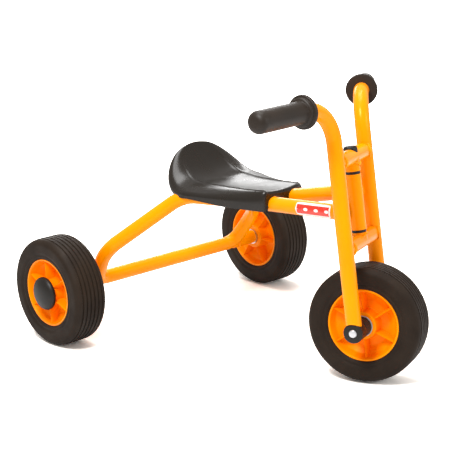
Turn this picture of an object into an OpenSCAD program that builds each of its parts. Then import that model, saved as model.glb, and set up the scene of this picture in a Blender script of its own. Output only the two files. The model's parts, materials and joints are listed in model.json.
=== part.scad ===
// Toddler's push-along tricycle: bent tube frame, turning fork with handlebar, three solid wheels.
// Lengths in millimetres. Rider faces -Y, rider's left is +X, floor is z = 0.

/* [Wheels] */
// outside diameter of all three wheels
wheel_d = 160; // [110:1:240]
// width of the tyre over its sidewalls
tyre_w = 54; // [36:1:80]
// diameter of the rim where it meets the tyre
rim_d = 100; // [70:1:150]
// radius of the tyre's shoulders
shoulder_r = 10; // [5:0.5:16]
// depth of the grooves round the tread
groove_depth = 1.6; // [0.5:0.1:3]
// number of grooves round the tread
groove_count = 6; // [3:1:9]
// number of ribs on each face of the rim
rib_count = 6; // [4:1:10]
// diameter of the axles and the steering pin
axle_d = 12; // [8:0.5:16]
// diameter of the domed hub caps
cap_d = 49; // [30:1:70]
// how far a hub cap stands out of the hub
cap_h = 13; // [8:0.5:20]

/* [Layout] */
// distance between the front and rear axle lines
wheelbase = 425; // [340:1:560]
// distance between the rear wheels' centre planes
track = 411; // [330:1:520]
// backward lean of the steering axis, degrees
rake = 7.9; // [0:0.1:15]
// turn of the fork as it stands, degrees, positive to the rider's left
steer_turn = 25; // [-40:1:40]

/* [Frame] */
// outside diameter of every frame and fork tube
tube_d = 21.3; // [16:0.1:28]
// wall thickness of the tubes
tube_wall = 2; // [1:0.1:3]
// half width of the frame at its rear corners
corner_x = 138.3; // [110:0.1:170]
// half width of the frame at the knee above each rear corner
knee_x = 149; // [110:0.1:180]
// height of the knees
knee_z = 133; // [110:1:180]
// half width of the frame under the back of the seat
hip_x = 68; // [50:1:110]
// height of the rails under the back of the seat
hip_z = 217.6; // [180:0.5:300]
// half distance between the rails at the front of the seat
nose_x = 20.4; // [15:0.1:40]
// height of the rails at the front of the seat
nose_z = 221; // [180:0.5:300]
// how much higher the left rail runs than the right one at the front of the seat
nose_step = 3; // [0:0.1:5]
// distance between the two rails' welds on the head tube
weld_step = 25; // [22:0.5:40]

/* [Fork] */
// distance of each fork leg's centre line from the steering axis
leg_x = 59; // [45:0.5:90]
// height of the lower cross tube above the axle, along the steering axis
low_cross = 111.5; // [95:0.5:160]
// height of the upper cross tube above the axle, along the steering axis
top_cross = 226.5; // [180:0.5:300]
// length of the head tube
head_len = 75.4; // [50:0.1:120]
// diameter of the black axle blocks
block_d = 27; // [22:0.5:40]
// height of the grips above the axle, along the steering axis
bar_s = 302; // [250:1:400]
// centre line radius of the handlebar bends
bar_bend = 50; // [30:1:60]
// backward sweep of the grips, degrees
bar_sweep = 15.5; // [0:0.5:30]
// length of a grip
grip_len = 104; // [70:1:130]
// diameter of a grip
grip_d = 30; // [24:0.5:38]
// diameter of a grip's flange
flange_d = 45; // [34:0.5:60]

/* [Seat] */
// length of the seat
seat_len = 200; // [150:1:240]
// half width of the seat at its widest
seat_half = 79; // [60:1:110]
// half width of the seat's front edge
seat_front = 39; // [30:0.5:60]
// distance of the widest place from the back of the seat
seat_wide = 72; // [50:1:80]
// distance of the back's ridge from the back of the seat
back_t = 12; // [8:0.5:20]
// height of the back's ridge above the pan
back_h = 47; // [20:1:70]
// depth of the dish across the pan
dish = 2; // [0:0.5:6]
// thickness of the moulded shell
shell_t = 2.5; // [2:0.1:3]

/* [Fits] */
// radial clearance of a shaft that turns in its bush
run_gap = 0.05; // [0.02:0.01:0.1]
// side clearance of parts that turn against each other
side_gap = 0.3; // [0.3:0.05:1]

/* [Hidden] */
$fn = 72;
wheel_r = wheel_d / 2;
tyre_h = tyre_w / 2;
rim_r = rim_d / 2;
tube_r = tube_d / 2;
bore_r = tube_r - tube_wall;
axle_r = axle_d / 2;
bush_r = axle_r + 3;
boss_r = axle_r + 13;
rim_h = tyre_h - 3.5;
hub_h = tyre_h - 2;
block_r = block_d / 2;
washer_t = 2;
// how far the turned, raked front tyre reaches down and forward of its centre
lean_z = abs(sin(steer_turn) * sin(rake));
lean_y = abs(sin(steer_turn) * cos(rake));
function reach(l) = (wheel_r - shoulder_r) * sqrt(1 - l * l) + (tyre_h - shoulder_r) * l + shoulder_r;
front_z = reach(lean_z);
rear_y = (wheelbase + reach(lean_y) - wheel_r) / 2;
front_y = rear_y - wheelbase;
// steering stack, measured up the axis from the front axle
head_lo = low_cross + tube_r + 5.5;
head_hi = head_lo + head_len;
lip_t = 3.6;
pin_top = top_cross + tube_r + 1.5;
head_mid = (head_lo + head_hi) / 2;
// handlebar
bar_dir = [cos(bar_sweep), sin(bar_sweep), 0.012];
grip_at = leg_x - 2;
// seat
seat_back_y = rear_y - wheelbase * 0.15;
seat_front_y = seat_back_y - seat_len;
pan_z = max(hip_z + tube_r + shell_t + 0.25, nose_z + nose_step / 2 + tube_r + shell_t - 4.65);
seat_gap = 0.3;
strap_t = 5;
screw_x = 9;
screw_r = 2.5;
strap_rear_s = 108;
strap_front_s = seat_len - 40;
// frame corner points, for side k = -1 (rider's right) or 1 (rider's left)
function corner(k) = [k * corner_x, rear_y, wheel_r];
function knee(k) = [k * knee_x, rear_y - wheelbase * 0.0875, knee_z];
function hip(k) = [k * hip_x, rear_y - wheelbase * 0.292, hip_z];
function nose(k) = [k * nose_x, seat_front_y + 8, nose_z + k * nose_step / 2];
function head_s(k) = head_mid - 2 + k * weld_step / 2;
function on_axis(s) = [0, front_y + s * sin(rake), front_z + s * cos(rake)];
function weld(k) = on_axis(head_s(k)) + [k * 14, 7, 0];
knee_bend = 60;
corner_bend = 22;
hip_bend = 60;
nose_bend = 60;
// how far a straight length reaches into the bend it meets
lap = 0.5;
function unit(v) = v / norm(v);
function turn(a, b, c) = acos(unit(b - a) * unit(c - b));
function trim(a, b, c, r) = r * tan(turn(a, b, c) / 2);
cross_half = corner_x - trim(knee(1), corner(1), corner(1) - [50, 0, 0], corner_bend) - 6;
function splice(k) = hip(k) + unit(nose(k) - hip(k)) * (trim(knee(k), hip(k), nose(k), hip_bend) + 6);
// rotation angles that carry the axes onto unit vectors x, y, z
function euler(x, y, z) = [atan2(y[2], z[2]), -asin(x[2]), atan2(x[1], x[0])];

// round bar between two points
module stick(a, b, r) {
  d = b - a;
  translate(a)
    rotate([0, acos(d[2] / norm(d)), atan2(d[1], d[0])])
      cylinder(h = norm(d), r = r);
}

// round bar bent about point b on a centre line radius
module elbow(a, b, c, rb, r) {
  d1 = unit(b - a);
  n = unit(cross(d1, unit(c - b)));
  inward = cross(n, d1);
  translate(b - d1 * trim(a, b, c, rb) + inward * rb)
    rotate(euler(-inward, d1, n))
      rotate_extrude(angle = turn(a, b, c))
        translate([rb, 0])
          circle(r = r);
}

// bar through a list of points with bend radii at the inner ones
module run(p, rb, r) {
  n = len(p) - 1;
  for (i = [0 : n - 1]) {
    d = unit(p[i + 1] - p[i]);
    t0 = i == 0 ? 0 : trim(p[i - 1], p[i], p[i + 1], rb[i]);
    t1 = i == n - 1 ? 0 : trim(p[i], p[i + 1], p[i + 2], rb[i + 1]);
    e0 = i == 0 ? 0 : lap;
    e1 = i == n - 1 ? 0 : lap;
    stick(p[i] + d * (t0 - e0), p[i + 1] - d * (t1 - e1), r - 0.03);
  }
  for (i = [1 : 1 : n - 1]) {
    elbow(p[i - 1], p[i], p[i + 1], rb[i], r);
  }
}

// carries fork shapes (z up the steering axis, -y forward) to their place
module in_fork() {
  translate([0, front_y, front_z])
    rotate([-rake, 0, 0])
      rotate([0, 0, steer_turn])
        children();
}

// carries head shapes to the steering axis without the fork's turn
module in_head() {
  translate([0, front_y, front_z])
    rotate([-rake, 0, 0])
      children();
}

// carries wheel shapes (z along the axle, outward) to a rear wheel
module at_rear(k) {
  translate([k * track / 2, rear_y, wheel_r])
    rotate([0, k * 90, 0])
      children();
}

// carries wheel shapes (z along the axle, towards the rider's left) to the fork
module at_front() {
  in_fork()
    rotate([0, 90, 0])
      children();
}

module rail_line(k, r) {
  run([splice(k), nose(k), weld(k)], [0, nose_bend, 0], r);
}

module stay_line(k, r) {
  run([splice(k), hip(k), knee(k), corner(k), [k * cross_half, rear_y, wheel_r]],
    [0, hip_bend, knee_bend, corner_bend, 0], r);
}

module rail(k) {
  color("orange")
    difference() {
      rail_line(k, tube_r);
      rail_line(k, bore_r);
      in_head()
        translate([0, 0, head_lo - 5])
          cylinder(h = head_len + 10, r = tube_r);
    }
}

module stay(k) {
  color("orange")
    difference() {
      stay_line(k, tube_r);
      stay_line(k, bore_r);
    }
}

module rear_cross_tube() {
  color("orange")
    difference() {
      stick([-cross_half, rear_y, wheel_r], [cross_half, rear_y, wheel_r], tube_r);
      stick([-cross_half - 1, rear_y, wheel_r], [cross_half + 1, rear_y, wheel_r], bore_r);
    }
}

// thick sleeve welded to the corner that carries one rear axle
module axle_sleeve(k) {
  color("orange")
    difference() {
      stick([k * corner_x, rear_y, wheel_r], [k * (track / 2 - hub_h - side_gap - washer_t), rear_y, wheel_r], tube_r);
      stick([k * corner_x, rear_y, wheel_r], [k * track / 2, rear_y, wheel_r], axle_r);
      stay_line(k, tube_r);
    }
}

module rear_axle(k) {
  color("silver")
    stick([k * (corner_x + 22), rear_y, wheel_r], [k * (track / 2 + hub_h + 5), rear_y, wheel_r], axle_r);
}

module rear_washer(k) {
  color("silver")
    at_rear(k)
      translate([0, 0, -hub_h - side_gap - washer_t])
        ring(axle_r + 6, axle_r, washer_t);
}

// push-on disc that keeps the wheel on its axle, under the hub cap
module rear_clip(k) {
  color("silver")
    at_rear(k)
      translate([0, 0, hub_h + side_gap])
        ring(axle_r + 4, axle_r, 1.6);
}

module ring(ro, ri, h) {
  difference() {
    cylinder(h = h, r = ro);
    translate([0, 0, -1])
      cylinder(h = h + 2, r = ri);
  }
}

module head_tube() {
  color("orange")
    in_head()
      translate([0, 0, head_lo])
        ring(tube_r, bore_r, head_len);
}

// flanged nylon bush pressed into one end of the head tube; k = -1 lower, 1 upper
module head_bush(k) {
  color("black")
    in_head()
      translate([0, 0, k < 0 ? head_lo : head_hi])
        mirror([0, 0, k < 0 ? 0 : 1])
          difference() {
            union() {
              translate([0, 0, -lip_t])
                cylinder(h = lip_t, r = tube_r - 0.9);
              cylinder(h = 16, r = bore_r);
            }
            translate([0, 0, -lip_t - 1])
              cylinder(h = lip_t + 18, r = axle_r + run_gap);
          }
}

// black insert that closes the front end of a rail
module rail_plug(k) {
  d = unit(weld(k) - nose(k));
  color("black")
    difference() {
      stick(weld(k) - d * 9, weld(k), bore_r - 0.1);
      in_head()
        translate([0, 0, head_lo - 5])
          cylinder(h = head_len + 10, r = tube_r);
    }
}

// rubber buffer under the right rail that the fork leg meets at full lock
module stop_buffer() {
  d = unit(weld(-1) - nose(-1));
  p = weld(-1) - d * 9;
  color("black")
    difference() {
      translate(p - [0, 0, tube_r + 5])
        cylinder(h = tube_r + 5, r = 6);
      rail_line(-1, tube_r);
      in_head()
        translate([0, 0, head_lo - 5])
          cylinder(h = head_len + 10, r = tube_r + side_gap);
    }
}

// curved plain label on the outer side of the right rail
module rail_label() {
  d = unit(weld(-1) - nose(-1));
  p = weld(-1) - d * 84;
  color("white")
    difference() {
      stick(p, p + d * 60, tube_r + 0.4);
      stick(p - d, p + d * 61, tube_r);
      translate(p + [0, -40, -50])
        translate([-6, -60, 0])
          cube([60, 200, 100]);
    }
}

// half distance between the rails, s from the back of the seat
function rail_x(s) =
  nose_x + (hip_x - nose_x) * (seat_back_y - s - nose(1)[1]) / (hip(1)[1] - nose(1)[1]);
// height of the pan along its middle, s from the back of the seat
function seat_top(s) =
  s < back_t ? pan_z + back_h * (0.5 + 0.5 * sqrt(1 - pow((back_t - s) / back_t, 2.2)))
  : s < seat_wide ? pan_z + back_h * pow((seat_wide - s) / (seat_wide - back_t), 2)
  : pan_z + 6.5 * pow((s - seat_wide) / (seat_len - seat_wide), 2);
// underside of the straps' place below the pan
function strap_top(s) = seat_top(s) - shell_t - 4;

// steel strap between the rails, s from the back of the seat
module strap(s) {
  color("dimgray")
    difference() {
      translate([-rail_x(s), seat_back_y - s - 11, strap_top(s) - strap_t])
        cube([2 * rail_x(s), 22, strap_t]);
      for (k = [-1, 1]) {
        stick(hip(k), nose(k), tube_r - 0.03);
        translate([k * screw_x, seat_back_y - s, strap_top(s) - strap_t - 1])
          cylinder(h = strap_t + 2, r = screw_r);
      }
    }
}

module seat_strap_rear() {
  strap(strap_rear_s);
}

module seat_strap_front() {
  strap(strap_front_s);
}

// screw up through a strap into a boss of the seat
module seat_screw(s, k) {
  color("silver")
    translate([k * screw_x, seat_back_y - s, strap_top(s) - strap_t]) {
      translate([0, 0, -3])
        cylinder(h = 3, r = screw_r + 2);
      cylinder(h = strap_t + 5, r = screw_r);
    }
}

// half width of the seat over its skirt
function seat_w(s) =
  s < seat_wide ? seat_half * pow(1 - pow((seat_wide - s) / (seat_wide + 0.6), 2.4), 0.42)
  : seat_half + (seat_front - seat_half) * (s - seat_wide) / (seat_len - seat_wide);
// half width of the pan between its creases
function seat_c(s) =
  max(5, seat_w(max(s, back_t + 27)) * (0.62 + 0.24 * pow(max(0, s / seat_len * 2 - 1), 1.5))
    * sqrt(max(0, 1 - pow(max(0, back_t + 27 - s) / 27, 2))));
// height at which the side is steepest
function seat_side(s) =
  max(skirt_z(s) + 2, pan_z - 9 + 24 * (1 + cos(180 * min(1, max(0, (s - 4) / 46)))) / 2);
// bottom edge of the skirt and how far it draws in under the back
function skirt_z(s) =
  pan_z - 18 + 11.5 * min(1, max(0, (seat_wide + 58 - s) / 35)) + 8 * pow(max(0, 1 - s / 60), 2);
function skirt_in(s) = 9 * max(0, 1 - s / 60);
function se(a, p) = pow(abs(a), p);
// right-hand half of the outline across the seat, bottom edge first, drawn in by t
function seat_half_ring(s, t) =
  let (full = 1 - 0.2 * min(1, s / 80))
  concat([[seat_w(s) - t - skirt_in(s), skirt_z(s) - t * 3], [seat_w(s) - t, seat_side(s)]],
    [for (a = [15 : 15 : 90])
      [seat_c(s) + (seat_w(s) - t - seat_c(s)) * se(cos(a), full),
       seat_side(s) + (seat_top(s) + dish * min(1, s / 60) - t - seat_side(s)) * se(sin(a), full)]]);
function seat_ring(s, t) =
  let (h = seat_half_ring(s, t), m = len(h), y = seat_back_y - s)
    concat([for (p = h) [-p[0], y, p[1]]], [[0, y, seat_top(s) - t]],
      [for (i = [m - 1 : -1 : 0]) [h[i][0], y, h[i][1]]]);

// solid block under the seat's top surface, drawn in by t
module seat_block(t) {
  n = 26;
  m = len(seat_ring(0, 0));
  pts = [for (j = [0 : n]) each seat_ring(t + (seat_len - 2 * t) * pow(j / n, 1.5), t)];
  quads = [for (j = [0 : n - 1]) for (i = [0 : m - 2])
    each [[j * m + i, j * m + i + 1, (j + 1) * m + i], [j * m + i + 1, (j + 1) * m + i + 1, (j + 1) * m + i]]];
  under = [for (j = [0 : n - 1])
    each [[j * m, (j + 1) * m, j * m + m - 1], [(j + 1) * m, (j + 1) * m + m - 1, j * m + m - 1]]];
  polyhedron(points = pts,
    faces = concat(quads, under, [[for (i = [0 : m - 1]) m - 1 - i]], [[for (i = [0 : m - 1]) n * m + i]]));
}

// moulded shell over the two rails, open underneath, with four screw bosses
module seat() {
  color("black")
    difference() {
      union() {
        difference() {
          seat_block(0);
          seat_block(shell_t);
        }
        for (s = [strap_rear_s, strap_front_s])
          for (k = [-1, 1])
            translate([k * screw_x, seat_back_y - s, strap_top(s)])
              cylinder(h = 5.5, r = screw_r + 3.5);
      }
      for (s = [strap_rear_s, strap_front_s])
        for (k = [-1, 1])
          translate([k * screw_x, seat_back_y - s, strap_top(s) - 9])
            cylinder(h = 14, r = screw_r);
      for (k = [-1, 1]) {
        p = nose(k) + unit(weld(k) - nose(k)) * 8;
        translate([p[0], seat_front_y - 5, p[2]])
          rotate([-90, 0, 0])
            cylinder(h = 10, r = tube_r + seat_gap);
        translate([p[0] - tube_r - seat_gap, seat_front_y - 5, p[2] - 40])
          cube([tube_d + 2 * seat_gap, 10, 40]);
      }
    }
}

module tyre() {
  sh = shoulder_r;
  half = concat(
    [[rim_r - 4, 0], [rim_r - 4, rim_h - 3], [rim_r, rim_h - 3], [rim_r, rim_h + 0.5], [rim_r + 4, tyre_h - 1.2], [rim_r + 10, tyre_h]],
    [for (a = [0 : 10 : 90]) [wheel_r - sh + sh * sin(a), tyre_h - sh + sh * cos(a)]],
    [[wheel_r, 0]]);
  flat = 2 * (tyre_h - sh);
  pitch = flat / (groove_count - 1);
  difference() {
    rotate_extrude()
      polygon(concat(half, [for (i = [len(half) - 2 : -1 : 1]) [half[i][0], -half[i][1]]]));
    for (i = [0 : groove_count - 1])
      translate([0, 0, -flat / 2 + i * pitch - 1])
        ring(wheel_r + 1, wheel_r - groove_depth, 2);
  }
}

module rim() {
  half = [[bush_r, 0], [bush_r, hub_h], [boss_r, hub_h], [boss_r + 1.5, 7], [rim_r * 0.68, 6.5],
    [rim_r * 0.86, 13], [rim_r - 2.5, rim_h], [rim_r, rim_h], [rim_r, rim_h - 3], [rim_r - 4, rim_h - 3], [rim_r - 4, 0]];
  union() {
    rotate_extrude()
      polygon(concat(half, [for (i = [len(half) - 2 : -1 : 1]) [half[i][0], -half[i][1]]]));
    for (i = [0 : rib_count - 1])
      rotate([90, 0, i * 360 / rib_count])
        translate([0, 0, -1.5])
          linear_extrude(height = 3)
            polygon([[boss_r - 1, -hub_h + 1.5], [boss_r - 1, hub_h - 1.5], [rim_r - 4.2, rim_h - 3.2], [rim_r - 4.2, 3.2 - rim_h]]);
  }
}

module wheel_bush() {
  translate([0, 0, -hub_h])
    ring(bush_r, axle_r + run_gap, 2 * hub_h);
}

// domed cap pushed on the outer face of a rear hub
module hub_cap() {
  cap_in = axle_r + 7;
  translate([0, 0, hub_h])
    rotate_extrude()
      polygon(concat([[cap_in, 0], [cap_d / 2, 0]],
        [for (a = [0 : 9 : 90]) [cap_d / 2 * cos(a), 2 + (cap_h - 2) * sin(a)]],
        [[0, cap_h - 3], [cap_in - 3, cap_h - 3], [cap_in, cap_h - 5]]));
}

module fork_leg(k) {
  top = bar_s - trim([leg_x, 0, 0], [leg_x, 0, bar_s], [leg_x, 0, bar_s] + bar_dir, bar_bend) - 3;
  color("orange")
    in_fork()
      difference() {
        stick([k * leg_x, 0, 0], [k * leg_x, 0, top], tube_r);
        stick([k * leg_x, 0, -1], [k * leg_x, 0, top + 1], bore_r);
        rotate([0, 90, 0])
          cylinder(h = 300, r = block_r, center = true);
        translate([0, 0, -20])
          cube([300, 60, 40], center = true);
      }
}

module handlebar(k) {
  v = [leg_x, 0, bar_s];
  t = trim([leg_x, 0, 0], v, v + bar_dir, bar_bend);
  pts = [[leg_x, 0, bar_s - t - 3], v, v + unit(bar_dir) * (grip_at + grip_len - 16)];
  color("orange")
    in_fork()
      mirror([k < 0 ? 1 : 0, 0, 0])
        difference() {
          run(pts, [0, bar_bend, 0], tube_r);
          run(pts, [0, bar_bend, 0], bore_r);
        }
}

// moulded grip: two-step flange, round barrel, rounded closed end
module grip(k) {
  v = [leg_x, 0, bar_s];
  u = unit(bar_dir);
  gr = grip_d / 2;
  color("black")
    in_fork()
      mirror([k < 0 ? 1 : 0, 0, 0])
        translate(v + u * grip_at)
          rotate([0, acos(u[2]), atan2(u[1], u[0])])
            rotate_extrude()
              polygon(concat(
                [[tube_r, 0], [flange_d / 2 - 1.5, 0], [flange_d / 2, 1.5], [flange_d / 2, 4], [flange_d / 2 - 1.5, 5.5],
                 [flange_d / 2 - 3.5, 5.5], [flange_d / 2 - 3.5, 8], [flange_d / 2 - 5, 9.5], [gr, 9.5]],
                [for (a = [0 : 15 : 90]) [gr - 8 + 8 * cos(a), grip_len - 8 + 8 * sin(a)]],
                [[0, grip_len], [0, grip_len - 15.5], [tube_r, grip_len - 15.5]]));
}

// cross tube between the fork legs at height s
module cross_tube(s) {
  color("orange")
    in_fork()
      difference() {
        translate([0, 0, s])
          rotate([0, 90, 0])
            cylinder(h = 2 * leg_x, r = tube_r, center = true);
        translate([0, 0, s])
          rotate([0, 90, 0])
            cylinder(h = 2 * leg_x + 2, r = bore_r, center = true);
        for (k = [-1, 1])
          translate([k * leg_x, 0, 0])
            cylinder(h = bar_s, r = tube_r);
        translate([0, 0, s < head_lo ? s : 0])
          cylinder(h = bar_s, r = axle_r);
      }
}

module fork_cross_lower() {
  cross_tube(low_cross);
}

module fork_cross_upper() {
  cross_tube(top_cross);
}

// short sleeve welded between a cross tube and the head tube's bush
module collar(s0, s1, s) {
  color("orange")
    in_fork()
      difference() {
        translate([0, 0, s0])
          ring(tube_r, axle_r, s1 - s0);
        translate([0, 0, s])
          rotate([0, 90, 0])
            cylinder(h = 2 * leg_x, r = tube_r, center = true);
      }
}

module collar_lower() {
  collar(low_cross, head_lo - lip_t - side_gap, low_cross);
}

module collar_upper() {
  collar(head_hi + lip_t + side_gap, top_cross, top_cross);
}

module steering_pin() {
  color("silver")
    in_fork()
      translate([0, 0, low_cross])
        cylinder(h = pin_top - low_cross, r = axle_r);
}

// nut on top of the steering pin, shaped to sit on the round cross tube
module pin_nut() {
  color("silver")
    in_fork()
      difference() {
        translate([0, 0, top_cross])
          ring(axle_r + 1, axle_r, tube_r + 1);
        translate([0, 0, top_cross])
          rotate([0, 90, 0])
            cylinder(h = 2 * leg_x, r = tube_r, center = true);
      }
}

// black cap over the nut
module pin_cap() {
  h = tube_r + 4;
  color("black")
    in_fork()
      difference() {
        translate([0, 0, top_cross])
          rotate_extrude()
            polygon([[axle_r + 1, 0], [axle_r + 3.5, 0], [axle_r + 3.5, h - 3], [axle_r + 2.3, h - 1], [axle_r, h], [0, h],
              [0, pin_top - top_cross], [axle_r + 1, pin_top - top_cross]]);
        translate([0, 0, top_cross])
          rotate([0, 90, 0])
            cylinder(h = 2 * leg_x, r = tube_r, center = true);
      }
}

module front_axle() {
  color("silver")
    at_front()
      cylinder(h = 2 * (leg_x + 9), r = axle_r, center = true);
}

// grooved black block between leg and wheel that holds the axle
module axle_block(k) {
  inner = hub_h + side_gap + washer_t;
  outer = leg_x + 8;
  color("black")
    at_front()
      difference() {
        translate([0, 0, k < 0 ? -outer : inner])
          ring(block_r, axle_r, outer - inner);
        for (i = [0 : 2])
          translate([0, 0, k * (inner + 4.5 + i * 5) - 1])
            ring(block_r + 1, block_r - 1.2, 2);
      }
}

module front_washer(k) {
  color("lightgray")
    at_front()
      translate([0, 0, k < 0 ? -hub_h - side_gap - washer_t : hub_h + side_gap])
        ring(block_r + 1, axle_r, washer_t);
}

module rail_right() rail(-1);
module rail_left() rail(1);
module stay_right() stay(-1);
module stay_left() stay(1);
module axle_sleeve_right() axle_sleeve(-1);
module axle_sleeve_left() axle_sleeve(1);
module rear_axle_right() rear_axle(-1);
module rear_axle_left() rear_axle(1);
module rear_washer_right() rear_washer(-1);
module rear_washer_left() rear_washer(1);
module rear_clip_right() rear_clip(-1);
module rear_clip_left() rear_clip(1);
module head_bush_lower() head_bush(-1);
module head_bush_upper() head_bush(1);
module rail_plug_right() rail_plug(-1);
module rail_plug_left() rail_plug(1);
module seat_screw_rear_right() seat_screw(strap_rear_s, -1);
module seat_screw_rear_left() seat_screw(strap_rear_s, 1);
module seat_screw_front_right() seat_screw(strap_front_s, -1);
module seat_screw_front_left() seat_screw(strap_front_s, 1);
module fork_leg_right() fork_leg(-1);
module fork_leg_left() fork_leg(1);
module handlebar_right() handlebar(-1);
module handlebar_left() handlebar(1);
module grip_right() grip(-1);
module grip_left() grip(1);
module axle_block_right() axle_block(-1);
module axle_block_left() axle_block(1);
module front_washer_right() front_washer(-1);
module front_washer_left() front_washer(1);
module tyre_front() color("#333333") at_front() tyre();
module tyre_right() color("#333333") at_rear(-1) tyre();
module tyre_left() color("#333333") at_rear(1) tyre();
module rim_front() color("#ff7010") at_front() rim();
module rim_right() color("#ff7010") at_rear(-1) rim();
module rim_left() color("#ff7010") at_rear(1) rim();
module wheel_bush_front() color("gray") at_front() wheel_bush();
module wheel_bush_right() color("gray") at_rear(-1) wheel_bush();
module wheel_bush_left() color("gray") at_rear(1) wheel_bush();
module hub_cap_right() color("black") at_rear(-1) hub_cap();
module hub_cap_left() color("black") at_rear(1) hub_cap();

rail_right();
rail_left();
stay_right();
stay_left();
rear_cross_tube();
axle_sleeve_right();
axle_sleeve_left();
rear_axle_right();
rear_axle_left();
rear_washer_right();
rear_washer_left();
rear_clip_right();
rear_clip_left();
head_tube();
head_bush_lower();
head_bush_upper();
rail_plug_right();
rail_plug_left();
stop_buffer();
rail_label();
seat_strap_rear();
seat_strap_front();
seat();
seat_screw_rear_right();
seat_screw_rear_left();
seat_screw_front_right();
seat_screw_front_left();
fork_leg_right();
fork_leg_left();
handlebar_right();
handlebar_left();
grip_right();
grip_left();
fork_cross_lower();
fork_cross_upper();
collar_lower();
collar_upper();
steering_pin();
pin_nut();
pin_cap();
front_axle();
axle_block_right();
axle_block_left();
front_washer_right();
front_washer_left();
tyre_front();
rim_front();
wheel_bush_front();
tyre_right();
rim_right();
wheel_bush_right();
hub_cap_right();
tyre_left();
rim_left();
wheel_bush_left();
hub_cap_left();
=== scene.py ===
import json
import math
import bmesh
import bpy
import numpy as np
from mathutils import Matrix, Vector


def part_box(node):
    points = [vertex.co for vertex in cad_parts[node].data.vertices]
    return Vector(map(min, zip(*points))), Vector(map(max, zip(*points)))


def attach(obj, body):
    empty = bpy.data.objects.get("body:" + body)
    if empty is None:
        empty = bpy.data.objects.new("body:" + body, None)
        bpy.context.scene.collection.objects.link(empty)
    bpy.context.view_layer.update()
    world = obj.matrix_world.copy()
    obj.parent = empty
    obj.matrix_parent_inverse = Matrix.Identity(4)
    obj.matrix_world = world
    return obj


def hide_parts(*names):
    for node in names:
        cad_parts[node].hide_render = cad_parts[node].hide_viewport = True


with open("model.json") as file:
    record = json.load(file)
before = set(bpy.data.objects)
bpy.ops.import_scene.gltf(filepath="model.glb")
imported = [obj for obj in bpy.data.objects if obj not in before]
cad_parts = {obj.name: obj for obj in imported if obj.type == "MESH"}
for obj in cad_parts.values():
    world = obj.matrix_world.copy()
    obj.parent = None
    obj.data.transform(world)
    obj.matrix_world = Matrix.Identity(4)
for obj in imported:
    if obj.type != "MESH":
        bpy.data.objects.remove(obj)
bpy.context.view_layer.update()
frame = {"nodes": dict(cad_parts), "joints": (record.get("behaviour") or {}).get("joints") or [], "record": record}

# Studio: a long-lens camera at the rider's front right, over a pale paper floor that brightens to
# white with distance. Four softboxes light it: a key from the rider's right, one above, a fill in
# front and one behind.
CAMERA_EYE = np.array([-1.46449, -1.57809, 0.77518])
CAMERA_TURN, CAMERA_LIFT, CAMERA_ROLL = (math.radians(a) for a in (-41.52, 15.52, -1.55))
camera_back = np.array([math.sin(CAMERA_TURN) * math.cos(CAMERA_LIFT),
                        -math.cos(CAMERA_TURN) * math.cos(CAMERA_LIFT), math.sin(CAMERA_LIFT)])
level_right = np.array([math.cos(CAMERA_TURN), math.sin(CAMERA_TURN), 0.0])
level_up = np.cross(camera_back, level_right)
camera_right = level_right * math.cos(CAMERA_ROLL) + level_up * math.sin(CAMERA_ROLL)
camera_up = np.cross(camera_back, camera_right)
camera = bpy.data.objects.new("camera", bpy.data.cameras.new("camera"))
camera.data.sensor_width = 36.0
camera.data.lens = 124.25
camera.data.clip_end = 60.0
camera_rows = np.column_stack([camera_right, camera_up, camera_back, CAMERA_EYE])
camera.matrix_world = Matrix(camera_rows.tolist() + [[0, 0, 0, 1]])
bpy.context.scene.collection.objects.link(camera)
bpy.context.scene.camera = camera
bpy.context.scene.view_settings.view_transform = "Standard"

# the room is dimmer as a light on the object than as the white that the camera sees
ROOM_ON_OBJECT, ROOM_IN_VIEW = 0.62, 1.1
world = bpy.data.worlds.new("studio")
world.use_nodes = True
room = world.node_tree.nodes["Background"]
room.inputs["Color"].default_value = (1.0, 0.985, 0.97, 1)
seen = world.node_tree.nodes.new("ShaderNodeLightPath")
room_light = world.node_tree.nodes.new("ShaderNodeMapRange")
room_light.inputs["To Min"].default_value = ROOM_ON_OBJECT
room_light.inputs["To Max"].default_value = ROOM_IN_VIEW
world.node_tree.links.new(seen.outputs["Is Camera Ray"], room_light.inputs["Value"])
world.node_tree.links.new(room_light.outputs["Result"], room.inputs["Strength"])
bpy.context.scene.world = world


def softbox(name, place, aim, width, height, power):
    """A rectangular area light at place that faces aim."""
    light = bpy.data.lights.new(name, "AREA")
    light.shape = "RECTANGLE"
    light.size, light.size_y, light.energy = width, height, power
    holder = bpy.data.objects.new(name, light)
    holder.location = place
    holder.rotation_euler = (Vector(aim) - Vector(place)).to_track_quat("-Z", "Y").to_euler()
    bpy.context.scene.collection.objects.link(holder)


softbox("key_light", (-1.3, -0.5, 1.9), (0, 0, 0.15), 0.55, 0.55, 42)
softbox("top_light", (0.2, 0.3, 2.3), (0, 0, 0.1), 1.3, 1.3, 36)
softbox("fill_light", (0.9, -1.9, 1.0), (0, -0.1, 0.15), 0.5, 0.9, 12)
softbox("back_light", (1.5, 1.9, 1.05), (0, 0, 0.2), 2.0, 0.5, 20)

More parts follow.
